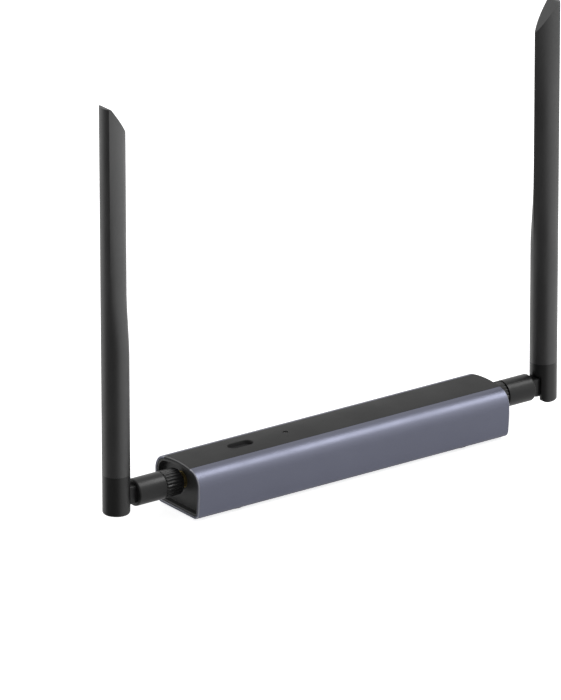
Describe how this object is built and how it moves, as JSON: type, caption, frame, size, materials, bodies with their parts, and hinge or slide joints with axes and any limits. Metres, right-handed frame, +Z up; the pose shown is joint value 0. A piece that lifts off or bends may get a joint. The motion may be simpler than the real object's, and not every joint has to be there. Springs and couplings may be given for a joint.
{
  "type": "smart home gateway",
  "caption": "Bar-shaped smart home gateway: blue-grey aluminium housing, charcoal top cover with a button, and a hinged swivelling antenna on a knurled nut at each end.",
  "frame": {"origin": "under the middle of the housing, on the surface the feet stand on", "axes": "+X along the bar towards the right antenna, +Y towards the back with the sockets, +Z up"},
  "size_m": [0.1984, 0.027, 0.1574],
  "materials": {
    "anodised_shell": "blue-grey anodised, fine bead-blasted satin",
    "cover_plastic": "charcoal, fine matte texture",
    "cap_plastic": "black moulded plastic",
    "button_plastic": "black moulded plastic",
    "antenna_plastic": "black moulded plastic, satin",
    "knuckle_plastic": "black moulded plastic, satin",
    "blade_plastic": "black soft-touch plastic",
    "gold_plated": "brass, gold plated",
    "steel": "plain steel sheet",
    "board_laminate": "green circuit laminate",
    "socket_plastic": "black moulded socket core",
    "white_insulator": "white insulating plastic",
    "clear_plastic": "clear moulded light guide",
    "foot_rubber": "soft dark rubber"
  },
  "bodies": {
    "housing": {"cap_screws": "steel", "feet": "foot_rubber", "housing_sleeve": "anodised_shell", "left_coax_jack": "gold_plated", "left_end_cap": "cap_plastic", "left_jack_contact": "gold_plated", "left_jack_insulator": "white_insulator", "left_radio_board": "board_laminate", "left_radio_shield": "steel", "light_guide": "clear_plastic", "main_board": "board_laminate", "network_jack_contacts": "gold_plated", "network_jack_insert": "socket_plastic", "network_jack_shell": "steel", "network_transformer": "socket_plastic", "processor_board": "board_laminate", "processor_shield": "steel", "right_coax_jack": "gold_plated", "right_end_cap": "cap_plastic", "right_jack_contact": "gold_plated", "right_jack_insulator": "white_insulator", "right_radio_board": "board_laminate", "right_radio_shield": "steel", "status_led": "clear_plastic", "switch_body": "steel", "top_cover": "cover_plastic", "usb_shell": "steel", "usb_tongue": "socket_plastic"},
    "button": {"button_cap": "button_plastic", "switch_plunger": "button_plastic"},
    "left_nut": {"left_nut_insert": "gold_plated", "left_nut_grip": "antenna_plastic"},
    "left_barrel": {"left_barrel": "antenna_plastic", "left_plug_body": "gold_plated", "left_plug_insulator": "white_insulator", "left_plug_pin": "gold_plated"},
    "left_antenna": {"left_knuckle": "knuckle_plastic", "left_blade": "blade_plastic", "left_radiator": "gold_plated", "left_hinge_pin": "steel"},
    "right_nut": {"right_nut_insert": "gold_plated", "right_nut_grip": "antenna_plastic"},
    "right_barrel": {"right_barrel": "antenna_plastic", "right_plug_body": "gold_plated", "right_plug_insulator": "white_insulator", "right_plug_pin": "gold_plated"},
    "right_antenna": {"right_knuckle": "knuckle_plastic", "right_blade": "blade_plastic", "right_radiator": "gold_plated", "right_hinge_pin": "steel"}
  },
  "joints": [
    {"name": "button_press", "type": "slide", "parent": "housing", "child": "button", "axis": [0, 0, -1], "range_m": [0, 0.00035], "stiffness_N_per_m": 2000, "springref_m": -0.0002},
    {"name": "left_nut_turn", "type": "hinge", "parent": "housing", "child": "left_nut", "pos_m": [-0.072, 0.0005, 0.0119], "axis": [-1, 0, 0], "continuous": true},
    {"name": "left_swivel", "type": "hinge", "parent": "housing", "child": "left_barrel", "pos_m": [-0.08, 0.0005, 0.0119], "axis": [-1, 0, 0], "continuous": true},
    {"name": "left_tilt", "type": "hinge", "parent": "left_barrel", "child": "left_antenna", "pos_m": [-0.0942, 0.0005, 0.0119], "axis": [0, -1, 0], "range_deg": [0, 90]},
    {"name": "right_nut_turn", "type": "hinge", "parent": "housing", "child": "right_nut", "pos_m": [0.072, 0.0005, 0.0119], "axis": [1, 0, 0], "continuous": true},
    {"name": "right_swivel", "type": "hinge", "parent": "housing", "child": "right_barrel", "pos_m": [0.08, 0.0005, 0.0119], "axis": [1, 0, 0], "continuous": true},
    {"name": "right_tilt", "type": "hinge", "parent": "right_barrel", "child": "right_antenna", "pos_m": [0.0942, 0.0005, 0.0119], "axis": [0, 1, 0], "range_deg": [0, 90]}
  ]
}
